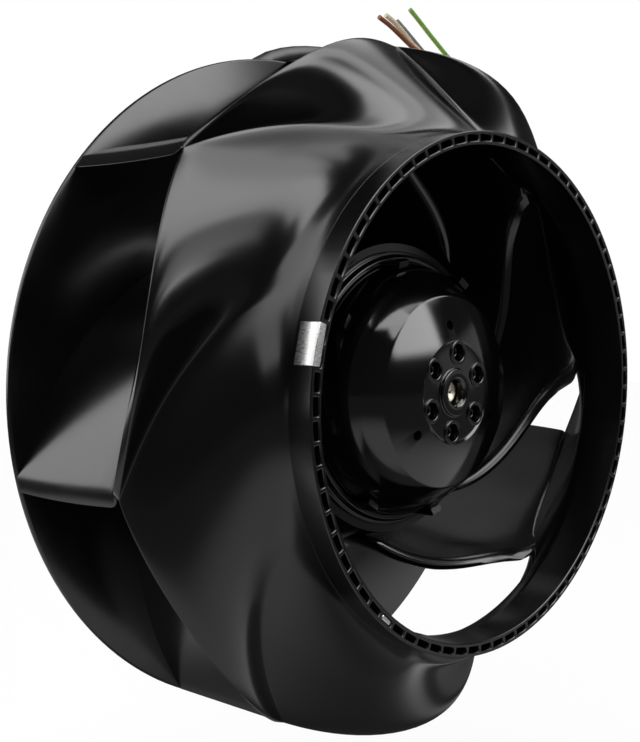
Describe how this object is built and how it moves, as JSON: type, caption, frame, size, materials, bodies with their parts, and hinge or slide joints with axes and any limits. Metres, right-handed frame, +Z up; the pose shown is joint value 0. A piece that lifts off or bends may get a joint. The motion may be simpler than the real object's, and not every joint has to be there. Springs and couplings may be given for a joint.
{
  "type": "plug_fan",
  "caption": "Plug fan: a backward-curved moulded black impeller on an external-rotor motor with built-in electronics and a flying cable",
  "frame": {"origin": "centre of the motor's flat rear mounting face", "axes": "+Y is the shaft axis pointing out of the rear mounting face, the inlet faces -Y, +Z is up"},
  "size_m": [0.2536, 0.1293, 0.2899],
  "materials": {
    "moulded_plastic": "black glass-filled moulding, satin to glossy",
    "bright_steel": "plain bright steel",
    "black_coated_steel": "glossy black coating on drawn steel",
    "ferrite": "dull grey ferrite",
    "laminations": "stacked electrical steel",
    "copper": "enamelled copper winding",
    "cast_aluminium": "as-cast aluminium, fine grain",
    "gasket_rubber": "matte",
    "board_green": "solder resist",
    "capacitor_sleeve": "shrink sleeve",
    "dark_plastic": "matte moulding",
    "sheath_black": "flexible sheath",
    "insulation_brown": "lead insulation",
    "insulation_grey": "lead insulation",
    "insulation_cream": "lead insulation",
    "insulation_green_yellow": "lead insulation, green with yellow stripe"
  },
  "bodies": {
    "motor": {"electronics_housing": "cast_aluminium", "housing_gasket": "gasket_rubber", "stator_flange": "cast_aluminium", "flange_screw_1": "bright_steel", "flange_screw_2": "bright_steel", "flange_screw_3": "bright_steel", "flange_screw_4": "bright_steel", "front_bearing": "bright_steel", "rear_bearing": "bright_steel", "wave_spring": "bright_steel", "stator_core": "laminations", "coil_1": "copper", "coil_2": "copper", "coil_3": "copper", "coil_4": "copper", "coil_5": "copper", "coil_6": "copper", "coil_7": "copper", "coil_8": "copper", "coil_9": "copper", "circuit_board": "board_green", "capacitor_1": "capacitor_sleeve", "capacitor_2": "capacitor_sleeve", "power_module": "dark_plastic", "cable_gland": "dark_plastic", "cable_sheath": "sheath_black", "lead_brown": "insulation_brown", "lead_grey": "insulation_grey", "lead_cream": "insulation_cream", "lead_earth": "insulation_green_yellow"},
    "impeller": {"front_shroud": "moulded_plastic", "inlet_ring": "moulded_plastic", "rear_disc": "moulded_plastic", "blade_1": "moulded_plastic", "blade_2": "moulded_plastic", "blade_3": "moulded_plastic", "blade_4": "moulded_plastic", "blade_5": "moulded_plastic", "blade_6": "moulded_plastic", "blade_7": "moulded_plastic", "balance_clip": "bright_steel", "balance_weight": "bright_steel", "rotor_shell": "black_coated_steel", "hub_clamp_ring": "moulded_plastic", "hub_screw_1": "bright_steel", "hub_screw_2": "bright_steel", "hub_screw_3": "bright_steel", "hub_screw_4": "bright_steel", "hub_screw_5": "bright_steel", "hub_screw_6": "bright_steel", "rotor_shaft": "bright_steel", "magnet_ring": "ferrite", "shaft_circlip": "bright_steel"}
  },
  "joints": [
    {"name": "rotor_spin", "type": "hinge", "parent": "motor", "child": "impeller", "pos_m": [0, -0.07, 0], "axis": [0, 1, 0], "continuous": true}
  ]
}
